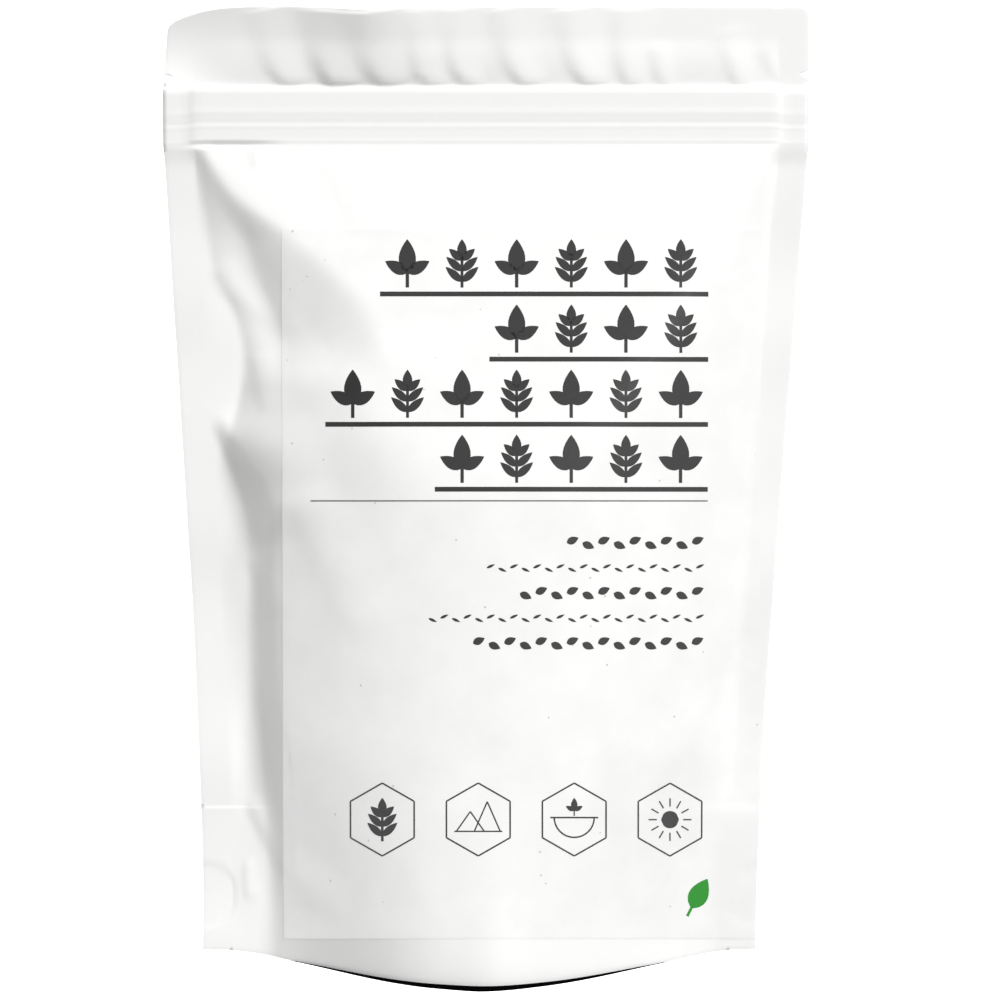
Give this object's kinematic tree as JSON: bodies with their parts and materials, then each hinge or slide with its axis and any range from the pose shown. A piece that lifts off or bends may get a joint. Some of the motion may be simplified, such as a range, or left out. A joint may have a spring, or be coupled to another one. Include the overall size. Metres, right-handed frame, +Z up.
{
  "type": "stand-up pouch",
  "caption": "White stand-up zip pouch of dried bael leaves, with a front label and an opened bottom gusset.",
  "frame": {"origin": "on the surface that the pouch stands on, under the middle of its bounding box", "axes": "+Z up the pouch, +X across it to the right as seen from the front, front facing -Y"},
  "size_m": [0.1601, 0.0659, 0.2374],
  "materials": {
    "film": "matt white laminated film",
    "label_paper": "white uncoated paper, printed in black and green",
    "zip_tape": "milky polythene",
    "dried_leaf": "matt dried leaf"
  },
  "bodies": {
    "root": {"front_panel": "film", "back_panel": "film", "bottom_gusset": "film", "zip_channel_strip": "zip_tape", "zip_rib_strip": "zip_tape", "front_label": "label_paper", "bael_leaf_01": "dried_leaf", "bael_leaf_02": "dried_leaf", "bael_leaf_03": "dried_leaf", "bael_leaf_04": "dried_leaf", "bael_leaf_05": "dried_leaf", "bael_leaf_06": "dried_leaf", "bael_leaf_07": "dried_leaf", "bael_leaf_08": "dried_leaf", "bael_leaf_09": "dried_leaf", "bael_leaf_10": "dried_leaf"}
  },
  "joints": []
}
